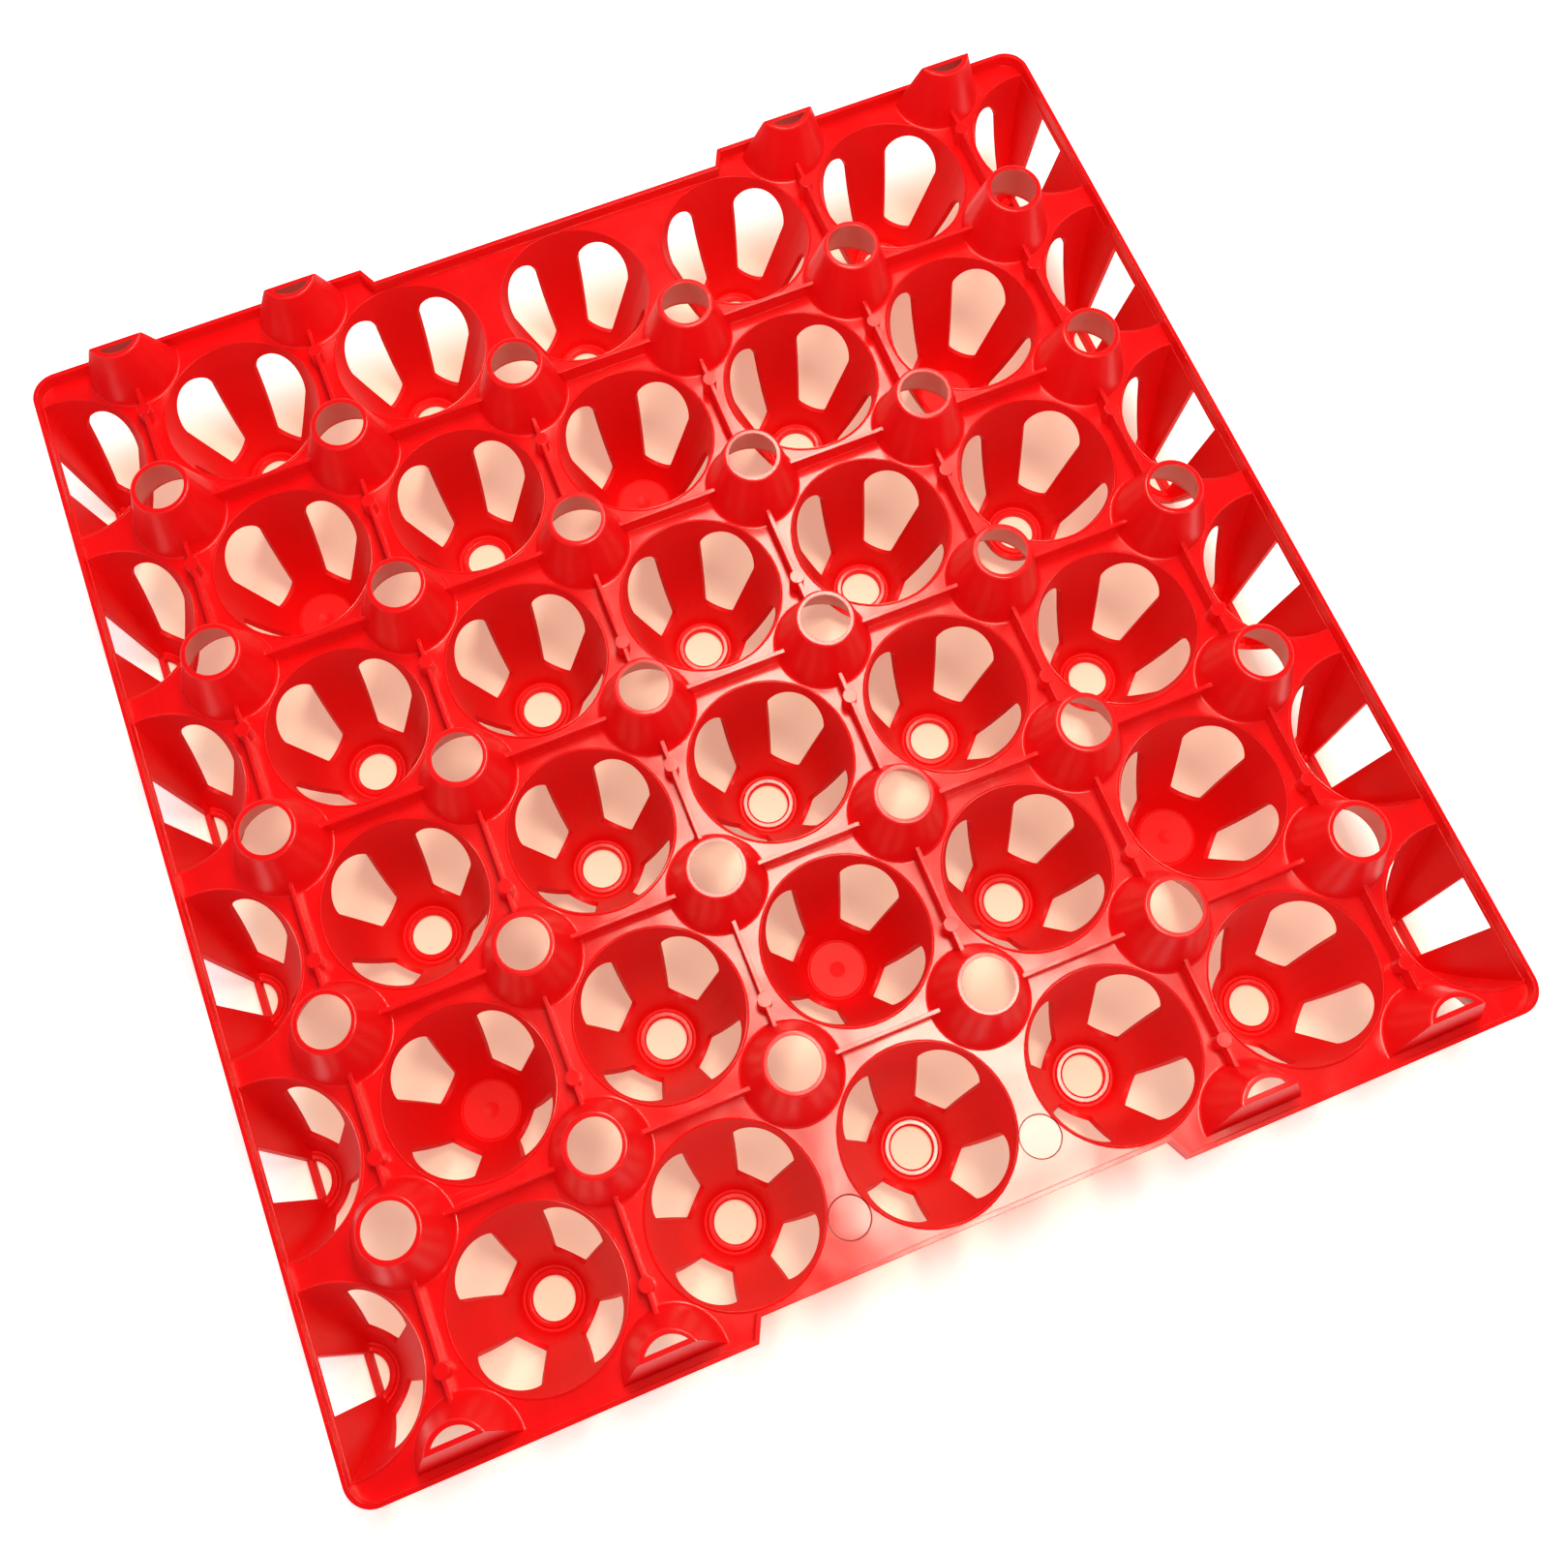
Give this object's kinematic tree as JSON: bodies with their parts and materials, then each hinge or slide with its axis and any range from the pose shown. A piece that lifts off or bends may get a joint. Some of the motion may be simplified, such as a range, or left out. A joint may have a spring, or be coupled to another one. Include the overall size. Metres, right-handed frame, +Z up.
{
  "type": "plastic egg tray",
  "caption": "Square moulded plastic tray with windowed conical egg cups below a flat deck and hollow stacking posts above it.",
  "frame": {"origin": "middle of the footprint, on the plane that the cup floors stand on", "axes": "+Z up, through the posts; X runs along the edges with the finger recesses, Y across them"},
  "size_m": [0.307, 0.307, 0.065],
  "materials": {
    "red_plastic": "glossy injection-moulded polypropylene, slightly translucent"
  },
  "bodies": {
    "root": {"egg_tray": "red_plastic"}
  },
  "joints": []
}
